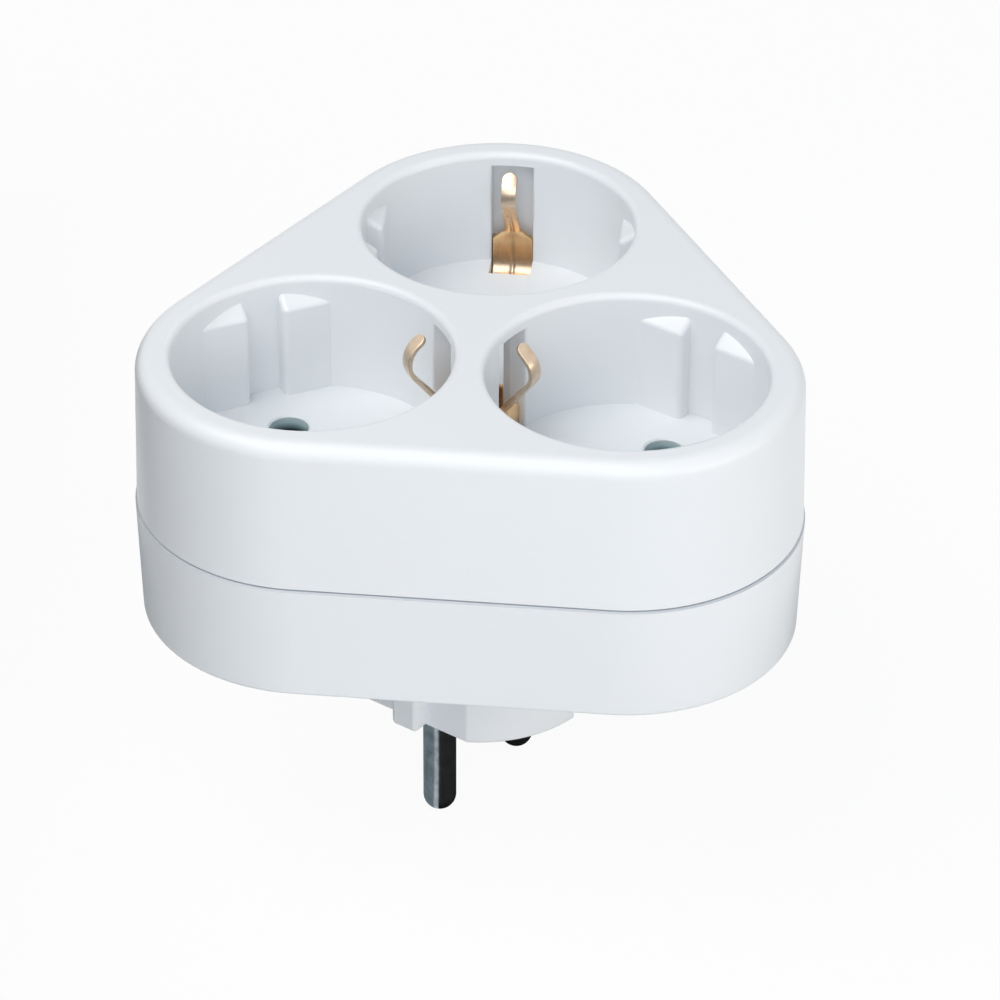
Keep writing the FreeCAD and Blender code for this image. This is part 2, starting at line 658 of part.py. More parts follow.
def busbar(pole):
    """Flat brass stamping that joins one plug pin to its three socket contacts."""
    name = pole.name + "_busbar"

    def disc(part, radius, x, y="0"):
        return rod("%s_%s" % (name, part), radius, "strip_thickness", x=x, y=y, z=pole.level)

    solids = [disc("hub", "pad_radius", pole.pin_x)]
    holes = [disc("hub_hole", "tenon_radius + fit_gap", pole.pin_x)]
    for place, (x, y) in enumerate(pole.contacts, start=1):
        heading = direction((pole.pin_x, "0"), (x, y))
        arm = block("%s_arm_%d" % (name, place), "sqrt((%s - (%s)) ^ 2 + (%s) ^ 2)" % (x, pole.pin_x, y),
                    "bar_width", "strip_thickness",
                    x="%s + bar_width / 2 * sin(%s)" % (pole.pin_x, heading), z=pole.level)
        bind(arm, y="-bar_width / 2 * cos(%s)" % heading)
        solids.append(turn(arm, heading))
        solids.append(disc("pad_%d" % place, "pad_radius", x, y))
        holes.append(disc("pad_hole_%d" % place, "pad_hole / 2", x, y))
        holes.append(disc("rivet_hole_%d" % place, "rivet_radius + fit_gap",
                          *rivet_place(pole, x, y)))
    return label(cut(name, fuse(name + "_plate", *solids), *holes), name)


def socket_contact(pole, place):
    """Brass spring contact: a punched base and two leaves that pinch an inserted pin."""
    name = "%s_contact_%d" % (pole.name, place + 1)
    x, y = pole.contacts[place]
    base = "(%s + strip_thickness)" % pole.level
    leaves = []
    for side in ("-", ""):
        leaves.append([(side + "contact_base / 2", base),
                       (side + "(pinch_gap / 2 + strip_thickness)", "contact_top - pinch_drop"),
                       (side + "(mouth_gap / 2 + strip_thickness)", "contact_top")])
    path = leaves[0][::-1] + leaves[1]
    strip = bent_strip(name + "_leaves", path, ("bend_radius",) * (len(path) - 2), "contact_width")
    tab = block(name + "_tab", "rivet_head_radius * 2", "tab_reach + rivet_head_radius", "strip_thickness",
                x="-rivet_head_radius", y="(tab_reach + rivet_head_radius) / 2", z=base)
    hole = rod(name + "_hole", "pad_hole / 2", "strip_thickness * 2", z=base)
    rivet_hole = rod(name + "_rivet_hole", "rivet_radius + fit_gap", "strip_thickness",
                     y="tab_reach", z=base)
    contact = cut(name, fuse(name + "_blank", strip, tab), hole, rivet_hole)
    bind(contact, x=x, y=y)
    return label(turn(contact, direction((x, y), (pole.pin_x, "0")) + " - 90 deg"), name)


def rivet(name, length, x, y, z):
    """A shank with a head at each end of its grip."""
    shank = rod(name + "_shank", "rivet_radius", length, x=x, y=y, z=z)
    upper = rod(name + "_upper_head", "rivet_head_radius", "rivet_head", x=x, y=y, z="%s + %s" % (z, length))
    lower = rod(name + "_lower_head", "rivet_head_radius", "rivet_head", x=x, y=y, z=z + " - rivet_head")
    return fuse(name, shank, upper, lower)


def contact_rivets():
    """Six brass rivets that hold the socket contacts on the busbars."""
    rivets = []
    for pole in POLES:
        for place, (x, y) in enumerate(pole.contacts, start=1):
            rivets.append(rivet("%s_rivet_%d" % (pole.name, place), "2 * strip_thickness",
                                *rivet_place(pole, x, y), pole.level))
    return label(fuse("contact_rivets", *rivets), "contact_rivets")


def clip_side(side, tip):
    """Half of the clip's stamped outline: wide at the base, shouldered, with a round tip."""
    body = doc.addObject("PartDesign::Body", side + "_clip_blank")
    sketch = sketch_on(body, side + "_clip_outline", "YZ_Plane")
    edge = [("clip_width / 2", "star_level"), ("clip_width / 2", "top - shoulder_drop"),
            ("finger_width / 2", "top - finger_drop"), ("finger_width / 2", tip)]
    polygon(sketch, edge + [("-" + across, height) for across, height in edge[::-1]])
    pad = body.newObject("PartDesign::Pad", side + "_clip_blank_pad")
    pad.Profile = sketch
    bind(pad, Length="well_reach")
    tip_height = number(tip)
    dress(body, "Fillet", "finger_width * 0.49",
          lambda edge: edge.BoundBox.ZMin > tip_height - 0.01 and edge.BoundBox.YLength < 0.01
          and edge.BoundBox.XLength > 0.01, side + "_clip_tip_round")
    return body


def clip_blank():
    """The clip's stamped outline: its inner half and its outer half."""
    inner = clip_side("inner", "top - inner_tip_drop")
    outer = bind(clip_side("outer", "top - outer_tip_drop"), x="well_reach")
    return fuse("clip_blank", inner, outer)


def earth_clip(blank, angle, place):
    """Bronze earth clip of one socket: a strap under the floor with a sprung arm at each end."""
    name = "earth_clip_%d" % place
    inner = [("upright_reach", "strap_level"), ("upright_reach", "top - lean_drop"),
             ("(well_radius - inner_nose_inset)", "top - inner_nose_drop"),
             ("(well_radius - inner_tip_inset)", "top - inner_tip_drop + strip_thickness / 2")]
    outer = [("upright_reach", "strap_level"), ("upright_reach", "top - lean_drop"),
             ("(well_radius - outer_nose_inset)", "top - outer_nose_drop"),
             ("(well_radius + outer_tip_setback)", "top - outer_tip_drop + strip_thickness / 2")]
    path = [("well_reach - " + reach, height) for reach, height in inner[::-1]]
    path += [("well_reach + " + reach, height) for reach, height in outer]
    bends = ("nose_bend", "bend_radius", "bend_radius", "wide_bend", "bend_radius", "nose_bend")
    strap = bent_strip(name, path, bends, "clip_width")
    hole = rod(name + "_hole", "rivet_radius + fit_gap", "strip_thickness", x="rivet_reach", z="strap_level")
    clip = cut(name + "_clip", common(name + "_stamped", strap, blank), hole)
    clip.Placement = FreeCAD.Placement(vector(0, 0, 0), FreeCAD.Rotation(vector(0, 0, 1), angle))
    return label(clip, name)


def earth_plate():
    """Bronze star that joins the three earth clips to the central post."""
    def disc(name, radius, x="0"):
        return rod(name, radius, "strip_thickness", x=x, z="star_level")

    arm = block("earth_arm", "rivet_reach", "earth_arm_width", "strip_thickness", z="star_level")
    end = disc("earth_arm_end", "earth_arm_width / 2", "rivet_reach")
    hub = disc("earth_hub", "earth_arm_width")
    hole = disc("earth_arm_hole", "rivet_radius + fit_gap", "rivet_reach")
    middle = disc("earth_hub_hole", "tenon_radius + fit_gap")
    star = fuse("earth_star", hub, around(fuse("earth_arms", arm, end)))
    return label(cut("earth_plate", star, around(hole), middle), "earth_plate")


def earth_rivets():
    """Three rivets that hold the earth clips on the earth plate."""
    rivets = rivet("earth_rivet", "2 * strip_thickness", "rivet_reach", "0", "star_level")
    return label(around(rivets), "earth_rivets")


def earth_post():
    """Turned post between the plug's earth strap and the earth plate, riveted at both ends."""
    strap_top = "(tray_level + strip_thickness)"
    body = rod("post_body", "post_radius", "star_level - " + strap_top, z=strap_top)
    tenon = rod("post_tenon", "tenon_radius", "star_level - tray_level + strip_thickness", z="tray_level")
    upper = rod("post_upper_head", "tenon_radius + rivet_head", "rivet_head", z="strap_level")
    lower = rod("post_lower_head", "tenon_radius + rivet_head", "rivet_head", z="tray_level - rivet_head")
    return label(fuse("earth_post", body, tenon, upper, lower), "earth_post")


def plug_earth_strap():
    """Bronze strap over the plug's hollow whose two legs are the side earth contacts."""
    height = "tray_level + strip_thickness"
    corners = [("side_contact_reach", "side_contact_start"), ("side_contact_reach", height),
               ("-side_contact_reach", height), ("-side_contact_reach", "side_contact_start")]
    strap = bent_strip("side_contacts", corners, ("bend_radius",) * 2, "side_contact_width")
    hole = rod("strap_hole", "tenon_radius + fit_gap", "strip_thickness", z="tray_level")
    result = cut("plug_earth_strap", strap, hole)
    result.Placement = FreeCAD.Placement(vector(0, 0, 0), FreeCAD.Rotation(vector(0, 0, 1), 90))
    return label(result, "plug_earth_strap")


def assembly_screws():
    """Three cross-recessed screws driven up through the lower housing."""
    head = rod("screw_head_blank", "screw_head_radius", "screw_head", x="screw_reach",
               z="screw_seat - screw_head")
    shank = rod("screw_shank", "screw_radius", "screw_length", x="screw_reach", z="screw_seat")
    across = block("recess_across", "screw_head_radius", "screw_head_radius / 4", "screw_head * 0.6",
                   x="screw_reach - screw_head_radius / 2", z="screw_seat - screw_head")
    along = block("recess_along", "screw_head_radius / 4", "screw_head_radius", "screw_head * 0.6",
                  x="screw_reach - screw_head_radius / 8", z="screw_seat - screw_head")
    screw = cut("assembly_screw", fuse("screw_blank", head, shank), across, along)
    return label(around(screw, SCREW_ANGLES), "assembly_screws")


def check_and_write():
    """Stop on any failed object or bad solid, then write one file for each piece."""
    doc.recompute()
    failed = [thing.Name for thing in doc.Objects if {"Invalid", "Error"} & set(thing.State)]
    if failed:
        raise RuntimeError("failed objects: " + ", ".join(failed))
    for piece in pieces:
        if piece.Shape.isNull() or not piece.Shape.isValid():
            raise RuntimeError("bad shape: " + piece.Label)
    os.makedirs("parts", exist_ok=True)
    for piece in pieces:
        piece.Shape.exportStep(os.path.join("parts", piece.Label + ".step"))
        print("%-20s %2d solids %9.1f mm3" % (piece.Label, len(piece.Shape.Solids), piece.Shape.Volume))


upper_housing()
lower_housing()
for pole in POLES:
    plug_pin(pole)
    busbar(pole)
    for place in range(len(pole.contacts)):
        socket_contact(pole, place)
contact_rivets()
blank = clip_blank()
for place, angle in enumerate(SOCKET_ANGLES, start=1):
    earth_clip(blank, angle, place)
earth_plate()
earth_rivets()
earth_post()
plug_earth_strap()
assembly_screws()
check_and_write()
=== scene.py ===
"""Three-way socket adapter, dressed and lit for a still picture.

Metres, +Z up. The origin is the centre of the plug's flat face: the pins point down
along -Z and stand on the X axis, and the three socket wells open upwards, in the
directions 30, 150 and 270 degrees round the Z axis.
"""
import math
import bmesh
import bpy
from mathutils import Matrix, Vector


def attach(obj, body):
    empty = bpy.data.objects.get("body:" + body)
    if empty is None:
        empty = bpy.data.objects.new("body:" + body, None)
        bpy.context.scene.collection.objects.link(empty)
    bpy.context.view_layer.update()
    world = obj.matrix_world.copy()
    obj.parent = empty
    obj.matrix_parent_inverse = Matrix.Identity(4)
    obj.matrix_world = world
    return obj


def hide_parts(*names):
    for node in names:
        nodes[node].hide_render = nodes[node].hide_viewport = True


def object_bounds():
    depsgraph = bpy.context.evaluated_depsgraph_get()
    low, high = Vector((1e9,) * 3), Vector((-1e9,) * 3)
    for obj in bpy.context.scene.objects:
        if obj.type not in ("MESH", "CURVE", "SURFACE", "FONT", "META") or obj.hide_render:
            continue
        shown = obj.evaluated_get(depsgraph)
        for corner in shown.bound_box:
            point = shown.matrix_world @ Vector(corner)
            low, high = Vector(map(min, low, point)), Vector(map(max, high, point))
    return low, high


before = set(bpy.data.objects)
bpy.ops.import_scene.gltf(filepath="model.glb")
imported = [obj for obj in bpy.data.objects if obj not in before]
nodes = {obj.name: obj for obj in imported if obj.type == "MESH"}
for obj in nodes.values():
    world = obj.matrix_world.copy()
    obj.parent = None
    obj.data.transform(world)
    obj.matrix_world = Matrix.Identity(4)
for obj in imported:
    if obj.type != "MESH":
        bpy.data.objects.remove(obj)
cad_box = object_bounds()
MM = 0.001


# The viewpoint: a long lens looks down past the front corner of the adapter, so that
# all three wells show and one plug pin stands clear below the housing.
LOOK_AT = Vector((0, 0, 45.8)) * MM
VIEW_DISTANCE = 689.1 * MM
VIEW_AZIMUTH = math.radians(-53.81)
VIEW_ELEVATION = math.radians(32.65)
VIEW_ROLL = math.radians(0.137)
SENSOR_WIDTH = 36.0
LENS = 4.9139 * SENSOR_WIDTH
LENS_SHIFT = (0.0207, -0.0964)
NEAREST_SEEN = 10 * MM

to_camera = Vector((math.sin(VIEW_AZIMUTH) * math.cos(VIEW_ELEVATION),
                    -math.cos(VIEW_AZIMUTH) * math.cos(VIEW_ELEVATION),
                    math.sin(VIEW_ELEVATION)))
to_right = Vector((math.cos(VIEW_AZIMUTH), math.sin(VIEW_AZIMUTH), 0))
to_front = Vector((math.sin(VIEW_AZIMUTH), -math.cos(VIEW_AZIMUTH), 0))
upwards = Vector((0, 0, 1))

lens = bpy.data.cameras.new("product_lens")
lens.lens = LENS
lens.sensor_width = SENSOR_WIDTH
lens.shift_x, lens.shift_y = LENS_SHIFT
lens.clip_start = NEAREST_SEEN
camera = bpy.data.objects.new("product_camera", lens)
bpy.context.scene.collection.objects.link(camera)
aim = to_camera.to_track_quat("Z", "Y").to_matrix().to_4x4()
camera.matrix_world = (Matrix.Translation(LOOK_AT + to_camera * VIEW_DISTANCE)
                       @ aim @ Matrix.Rotation(VIEW_ROLL, 4, "Z"))
bpy.context.scene.camera = camera


# The housing: two glossy mouldings in a hard white thermoset, faintly blue and very slightly
# wavy. The walls of the pin holes are painted a blue-green shade, and past them the inside is
# painted dark, as painted shade. The seam between the mouldings has a grey line of painted shade.
PLASTIC = (0.860, 0.882, 0.910)
PLASTIC_CLOUD = (0.848, 0.872, 0.903)
# The next two colours are painted shade: on the walls of the pin holes, and near black inside past them.
HOLE_SHADE = (0.53, 0.73, 0.78)
INSIDE_PAINTED_SHADE = (0.010, 0.034, 0.038)
INSIDE_RADIUS = 34.0
INSIDE_TOP = 42.9
HOLE_MIDDLE = 41.7
INSIDE_DARK = 40.5
INSIDE_BOTTOM = 22.7
SEAM = 37.9
SEAM_REACH = 0.22
SEAM_FADE = 0.08
# The colour of the painted shade along the seam between the two mouldings.
SEAM_PAINTED_SHADE = (0.54, 0.57, 0.62)
GLOSS = 0.29
GLOSS_SPREAD = 0.06
CLOUD_SCALE = 25.0
WAVE_SCALE = 70.0
WAVE_DEPTH = 0.04 * MM
WAVE_STRENGTH = 0.5
PLASTIC_IOR = 1.5


class Value:
    """A number in a shader. Sums and products of values add Math nodes."""

    def __init__(self, tree, socket):
        self.tree = tree
        self.socket = socket

    def math(self, operation, *others):
        inputs = dict(enumerate([self, *others]))
        return self.tree.add("ShaderNodeMath", {"operation": operation}, inputs)

    def __add__(self, other):
        return self.math("ADD", other)

    def __rsub__(self, other):
        return self.math("MULTIPLY_ADD", -1.0, other)

    def __mul__(self, other):
        return self.math("MULTIPLY", other)

    __radd__ = __add__
    __rmul__ = __mul__

    def or_else(self, other):
        return self.math("MAXIMUM", other)

    def under(self, limit):
        return self.math("LESS_THAN", limit)

    def over(self, limit):
        return self.math("GREATER_THAN", limit)


class Shader:
    """The node tree of one material or of the world, and the node that it ends in."""

    def __init__(self, owner, surface="Principled BSDF"):
        owner.use_nodes = True
        self.owner = owner
        self.nodes = owner.node_tree.nodes
        self.links = owner.node_tree.links
        self.surface = self.nodes[surface]

    def add(self, kind, settings=None, inputs=None, output=0):
        """Add a node, make its settings, feed its sockets and return one output."""
        node = self.nodes.new(kind)
        for name, setting in (settings or {}).items():
            setattr(node, name, setting)
        for name, given in (inputs or {}).items():
            self.feed(node.inputs[name], given)
        return Value(self, node.outputs[output])

    def feed(self, socket, given):
        if isinstance(given, Value):
            self.links.new(given.socket, socket)
        else:
            socket.default_value = given

    def finish(self, **given):
        """Feed the surface node; an underscore stands for a space."""
        for name, value in given.items():
            self.feed(self.surface.inputs[name.replace("_", " ")], value)
        return self.owner

    def noise(self, place, scale, detail=2.0, roughness=0.5):
        return self.add("ShaderNodeTexNoise", inputs={
            "Vector": place, "Scale": scale, "Detail": detail, "Roughness": roughness})

    def between(self, low, high, mask):
        """A colour between two colours, by a mask from 0 to 1."""
        first, second = (given if isinstance(given, Value) else (*given, 1) for given in (low, high))
        return self.add("ShaderNodeMix", {"data_type": "RGBA"}, {"Factor": mask, 6: first, 7: second},
                        output=2)

    def ramp(self, value, start, end):
        """0 at the start, 1 at the end, and even in between."""
        return self.add("ShaderNodeMapRange", inputs={"Value": value, "From Min": start, "From Max": end})

    def axes(self, place):
        """The place's x, y and z."""
        node = self.add("ShaderNodeSeparateXYZ", inputs={"Vector": place}).socket.node
        return [Value(self, socket) for socket in node.outputs]

    def stretched(self, place, scale):
        """The place, stretched or squeezed along each axis."""
        return self.add("ShaderNodeMapping", inputs={"Vector": place, "Scale": scale})

    def bump(self, height, depth, strength=1.0):
        return self.add("ShaderNodeBump", inputs={"Height": height, "Distance": depth, "Strength": strength})


def dress(name, finish):
    """Give a CAD node its material."""
    mesh = nodes[name].data
    mesh.materials.clear()
    mesh.materials.append(finish)


def white_plastic():
    shader = Shader(bpy.data.materials.new("white_plastic"))
    place = shader.add("ShaderNodeTexCoord", output="Object")
    x, y, z = shader.axes(place)
    within = (x * x + y * y).under((INSIDE_RADIUS * MM) ** 2) * z.over(INSIDE_BOTTOM * MM)
    # Painted shade: the pin holes' walls turn blue-green, and the inside past them is painted near black.
    hole_shade_mask = within * shader.ramp(z, INSIDE_TOP * MM, HOLE_MIDDLE * MM)
    inside = within * shader.ramp(z, HOLE_MIDDLE * MM, INSIDE_DARK * MM)
    # Painted shade: a narrow grey band along the seam between the mouldings.
    from_below = shader.ramp(z, (SEAM - SEAM_REACH - SEAM_FADE) * MM, (SEAM - SEAM_REACH) * MM)
    from_above = shader.ramp(z, (SEAM + SEAM_REACH + SEAM_FADE) * MM, (SEAM + SEAM_REACH) * MM)
    in_seam = from_below * from_above
    flow = shader.noise(place, CLOUD_SCALE, 2.0)
    waviness = shader.noise(place, WAVE_SCALE, 0.0)
    skin = shader.bump(waviness, WAVE_DEPTH, WAVE_STRENGTH)
    outside = shader.between(shader.between(PLASTIC_CLOUD, PLASTIC, flow), SEAM_PAINTED_SHADE, in_seam)
    hole = shader.between(outside, HOLE_SHADE, hole_shade_mask)
    return shader.finish(Base_Color=shader.between(hole, INSIDE_PAINTED_SHADE, inside),
                         Roughness=GLOSS + GLOSS_SPREAD * flow, Normal=skin, IOR=PLASTIC_IOR)


plastic = white_plastic()
for name in ("upper_housing", "lower_housing"):
    dress(name, plastic)


# The plug pins: solid brass, turned on a lathe and nickel plated. The tool leaves faint
# rings round the pin, and sockets leave fine scuffs along it.
NICKEL = (0.60, 0.62, 0.64)
NICKEL_WORN = (0.40, 0.42, 0.44)
RING_STRETCH = (40.0, 40.0, 6000.0)
SCUFF_STRETCH = (1500.0, 1500.0, 160.0)
WEAR_SCALE = 700.0
WEAR_RANGE = (0.35, 0.65)
PIN_RELIEF = 0.01 * MM
PIN_ROUGHNESS = 0.10
SCUFF_ROUGHNESS = 0.12
WEAR_ROUGHNESS = 0.10


def nickel():
    shader = Shader(bpy.data.materials.new("nickel"))
    place = shader.add("ShaderNodeTexCoord", output="Object")
    rings = shader.noise(shader.stretched(place, RING_STRETCH), 1.0, 2.0)
    scuffs = shader.noise(shader.stretched(place, SCUFF_STRETCH), 1.0, 3.0)
    wear = shader.noise(place, WEAR_SCALE, 4.0, 0.6)
    return shader.finish(Base_Color=shader.between(NICKEL, NICKEL_WORN, shader.ramp(wear, *WEAR_RANGE)),
                         Metallic=1.0,
                         Roughness=PIN_ROUGHNESS + SCUFF_ROUGHNESS * scuffs + WEAR_ROUGHNESS * wear,
                         Normal=shader.bump(0.4 * rings + scuffs, PIN_RELIEF))


plating = nickel()
for name in ("plug_pin_live", "plug_pin_neutral"):
    dress(name, plating)


# The earth clips: spring bronze strip, stamped with a narrow finger at each end, pressed
# with a stiffening groove down the middle, and bent so that both fingers lean into the well.
# The fingers are coined, so they are thinner and their faces bulge. Handling bent them a little.
WELL_REACH = 25.0
CLIP_THICKNESS = 0.8
CLIP_WIDTH = 5.9
FINGER_THICKNESS = 0.70
FINGER_WIDTH = 2.25
FINGER_CROWN = 0.12
SHOULDER_HEIGHT = 46.0
FINGER_HEIGHT = 47.7
STRAP_LEVEL = 39.5
UPRIGHT_REACH = 21.0
FOOT_BENDS = (1.2, 3.0)
LEAN_BEND = 1.2
# Each finger: the height where it starts to lean, its nose and its tip, each by how far it
# stands out from the upright and by its height, and the radius of the bend at the nose
PLAIN_FINGER = (47.3, (6.4, 54.6), (2.8, 58.5), 2.0)
LEFT_FINGER = (45.7, (8.0, 56.0), (4.1, 58.6), 3.4)
RIGHT_FINGER = (46.8, (6.0, 54.5), (2.5, 57.8), 2.6)
OUTER_FINGER = (47.3, (3.4, 54.6), (0.6, 56.8), 2.4)
# Name, direction, inner finger, and how far the outer finger stands to one side
CLIPS = (("earth_clip_1", 30, PLAIN_FINGER, 0.42), ("earth_clip_2", 150, LEFT_FINGER, 0.0),
         ("earth_clip_3", 270, RIGHT_FINGER, 0.1))
SIDE_STEP_END = 52.0
STRIP_EDGE = 0.13
GROOVE_HALF = 0.45
GROOVE_DEPTH = 0.20
GROOVE_END = 53.0
GROOVE_FADE = 2.5
HALF_TILT = 0.06
FACE_STEPS = 40
EDGE_STEPS = 4
TIP_STEPS = 8
BEND_STEP = math.radians(6)
RUN_STEP = 0.4
RIVET_PLACE = 17.0
RIVET_HOLE = 1.25
HOLE_SIDES = 48
BRONZE_RUBBED = (0.70, 0.565, 0.43)
BRONZE_AMBER = (0.98, 0.67, 0.37)
# The tarnish colour, which also paints the shade in the groove down the plates.
TARNISH_AND_GROOVE_SHADE = (0.42, 0.26, 0.13)
RUBBED_ABOVE = (46.5, 50.0)
RUBBED_BELOW = (44.0, 42.0)
# The half width of the painted shade in the groove down the middle of the plates.
GROOVE_SHADE_HALF = 0.36
ROLLING_STRETCH = (60.0, 4200.0, 60.0)
PRESSING_SCALE = 850.0
TARNISH_SCALE = 260.0
TARNISH_RANGE = (0.45, 0.75)
SPECK_SCALE = 1900.0
SPECK_RANGE = (0.50, 0.68)
TARNISH_SHARE = 0.5
GROOVE_SHADE_SHARE = 0.45
SPECK_SHARE = 0.42
BRONZE_RELIEF = 0.02 * MM
BRONZE_ROUGHNESS = 0.20
TARNISH_ROUGHNESS = 0.12
ROLLING_ROUGHNESS = 0.08


def bronze():
    shader = Shader(bpy.data.materials.new("bronze"))
    place = shader.add("ShaderNodeTexCoord", output="Object")
    x, y, z = shader.axes(place)
    rolling = shader.noise(shader.stretched(place, ROLLING_STRETCH), 1.0, 3.0)
    pressing = shader.noise(place, PRESSING_SCALE, 3.0)
    tarnish = shader.noise(place, TARNISH_SCALE, 5.0, 0.62)
    rubbed = shader.ramp(z, RUBBED_ABOVE[0] * MM, RUBBED_ABOVE[1] * MM).or_else(
        shader.ramp(z, RUBBED_BELOW[0] * MM, RUBBED_BELOW[1] * MM))
    # Painted shade: a dark stripe down the middle of the plates, in the stiffening groove.
    groove_painted_shade = (y * y).under((GROOVE_SHADE_HALF * MM) ** 2) * (1.0 - rubbed)
    strip = shader.between(BRONZE_AMBER, BRONZE_RUBBED, rubbed)
    specks = rubbed * shader.ramp(shader.noise(place, SPECK_SCALE, 4.0, 0.7), *SPECK_RANGE)
    clouded = TARNISH_SHARE * shader.ramp(tarnish, *TARNISH_RANGE)
    # The strip darkens by tarnish clouds, specks on the fingers and the painted shade in the groove.
    tarnish_and_groove_shade = clouded.or_else(GROOVE_SHADE_SHARE * groove_painted_shade).or_else(SPECK_SHARE * specks)
    roughness = BRONZE_ROUGHNESS + TARNISH_ROUGHNESS * tarnish + ROLLING_ROUGHNESS * rolling
    return shader.finish(Base_Color=shader.between(strip, TARNISH_AND_GROOVE_SHADE, tarnish_and_groove_shade), Metallic=1.0, Roughness=roughness,
                         Normal=shader.bump(0.6 * rolling + pressing, BRONZE_RELIEF))


def bent_run(corners, radii):
    """Points and directions along straight runs joined by arcs, in one plane."""
    stations = []
    start = corners[0]
    for before, corner, after, radius in zip(corners, corners[1:], corners[2:], radii):
        way_in = (corner - before).normalized()
        way_out = (after - corner).normalized()
        turn = way_in.angle_signed(way_out)
        reach = radius * math.tan(abs(turn) / 2)
        bend_start = corner - way_in * reach
        add_run(stations, start, bend_start, way_in)
        side = Vector((way_in.y, -way_in.x)) * math.copysign(radius, turn)
        steps = max(2, math.ceil(abs(turn) / BEND_STEP))
        for step in range(1, steps):
            swing = Matrix.Rotation(-turn * step / steps, 2)
            stations.append((bend_start + side - swing @ side, swing @ way_in))
        start = corner + way_out * reach
    add_run(stations, start, corners[-1], way_out)
    return stations


def add_run(stations, start, end, direction):
    """Add evenly spaced stations along a straight run."""
    steps = max(1, math.ceil((end - start).length / RUN_STEP))
    for step in range(steps + 1):
        stations.append((start.lerp(end, step / steps), direction))


def round_the_end(stations):
    """Replace the last stretch by stations that close in on the end of a round tip."""
    end, direction = stations[-1]
    radius = FINGER_WIDTH / 2
    kept = [station for station in stations if (station[0] - end).length > radius]
    for step in range(TIP_STEPS + 1):
        angle = math.radians(90 * step / TIP_STEPS)
        kept.append((end - direction * radius * (1 - math.sin(angle)), direction))
    return kept


def strip_half_width(place, ends):
    """Half the strip's width: shouldered by height, and closing in at both round tips."""
    finger = FINGER_WIDTH / 2
    wide = CLIP_WIDTH / 2
    share = min(1.0, max(0.0, (place.y - SHOULDER_HEIGHT) / (FINGER_HEIGHT - SHOULDER_HEIGHT)))
    half_width = wide + (finger - wide) * (1 - (1 - share) ** 1.5)
    short_by = max(0.0, finger - min((place - end).length for end in ends)) / finger
    return max(0.001, half_width * math.sqrt(max(0.0, 1 - short_by ** 2)))


def strip_section(half_width, coined):
    """Places across the strip and through its thickness, once round its section."""
    edge = min(STRIP_EDGE, 0.9 * half_width)
    flat = half_width - edge
    bulge = FINGER_CROWN * coined / (FINGER_WIDTH / 2) ** 2
    crown = bulge * flat ** 2
    back = (CLIP_THICKNESS - FINGER_THICKNESS) * coined
    quarter = [math.radians(90 * step / EDGE_STEPS) for step in range(EDGE_STEPS + 1)]
    face_places = [flat * (2 * step / FACE_STEPS - 1) for step in range(1, FACE_STEPS)]
    front = [(across, CLIP_THICKNESS - bulge * across ** 2) for across in face_places]
    front_edge = [(flat + edge * math.sin(a), CLIP_THICKNESS - crown - edge * (1 - math.cos(a)))
                  for a in quarter]
    back_edge = [(flat + edge * math.sin(a), back + edge * (1 - math.cos(a))) for a in reversed(quarter)]
    side = front_edge + back_edge
    other_side = [(-across, through) for across, through in reversed(side)]
    return front + side + [(across, back) for across in reversed(face_places)] + other_side


def pressed(across, place):
    """How far the stiffening groove pushes the strip back from the well."""
    fade = min(1.0, max(0.0, (GROOVE_END - place.y) / GROOVE_FADE))
    inside = max(0.0, 1 - abs(across) / GROOVE_HALF)
    valley = GROOVE_DEPTH * (3 - 2 * inside) * inside ** 2
    tilt = HALF_TILT * (CLIP_WIDTH / 2 - abs(across)) * min(1.0, max(0.0, SHOULDER_HEIGHT + 1 - place.y))
    on_upright = min(1.0, max(0.0, (place.y - STRAP_LEVEL) / CLIP_THICKNESS))
    return fade * valley + on_upright * tilt


def arm(upright, towards_well, finger):
    """The corners of one arm, from its tip down to the strap."""
    lean_height, nose, tip, _ = finger
    return [Vector((upright + towards_well * tip[0], tip[1])),
            Vector((upright + towards_well * nose[0], nose[1])),
            Vector((upright, lean_height)), Vector((upright, STRAP_LEVEL))]


def rise(value, start, end):
    """0 at the start, 1 at the end, with a soft way in and out."""
    share = min(1.0, max(0.0, (value - start) / (end - start)))
    return share * share * (3 - 2 * share)


def clip_mesh(name, finger, side_step):
    """One clip in its own frame: x outwards from the adapter's middle, z up."""
    inner_arm = arm(WELL_REACH - UPRIGHT_REACH, 1, finger)
    outer_arm = arm(WELL_REACH + UPRIGHT_REACH, -1, OUTER_FINGER)
    corners = inner_arm + outer_arm[::-1]
    radii = (finger[3], LEAN_BEND, *FOOT_BENDS, LEAN_BEND, OUTER_FINGER[3])
    stations = round_the_end(bent_run(corners, radii))
    stations = round_the_end([(place, -way) for place, way in reversed(stations)])
    ends = stations[0][0], stations[-1][0]
    mesh = bmesh.new()
    rings = []
    for place, way in stations:
        towards_well = Vector((way.y, -way.x))
        aside = side_step * rise(place.y, FINGER_HEIGHT, SIDE_STEP_END) if place.x > WELL_REACH else 0.0
        coined = rise(place.y, SHOULDER_HEIGHT, FINGER_HEIGHT + 1)
        ring = []
        for across, through in strip_section(strip_half_width(place, ends), coined):
            point = place + towards_well * (through - pressed(across, place))
            ring.append(mesh.verts.new(Vector((point.x, across + aside, point.y)) * MM))
        rings.append(ring)
    for first, second in zip(rings, rings[1:]):
        for place, corner in enumerate(first):
            following = (place + 1) % len(first)
            mesh.faces.new((corner, first[following], second[following], second[place]))
    for ring in (rings[0][::-1], rings[-1]):
        mesh.faces.new(ring)
    bmesh.ops.remove_doubles(mesh, verts=mesh.verts, dist=0.0005 * MM)
    bmesh.ops.recalc_face_normals(mesh, faces=mesh.faces)
    for face in mesh.faces:
        face.smooth = True
    made = bpy.data.meshes.new(name)
    mesh.to_mesh(made)
    mesh.free()
    return made


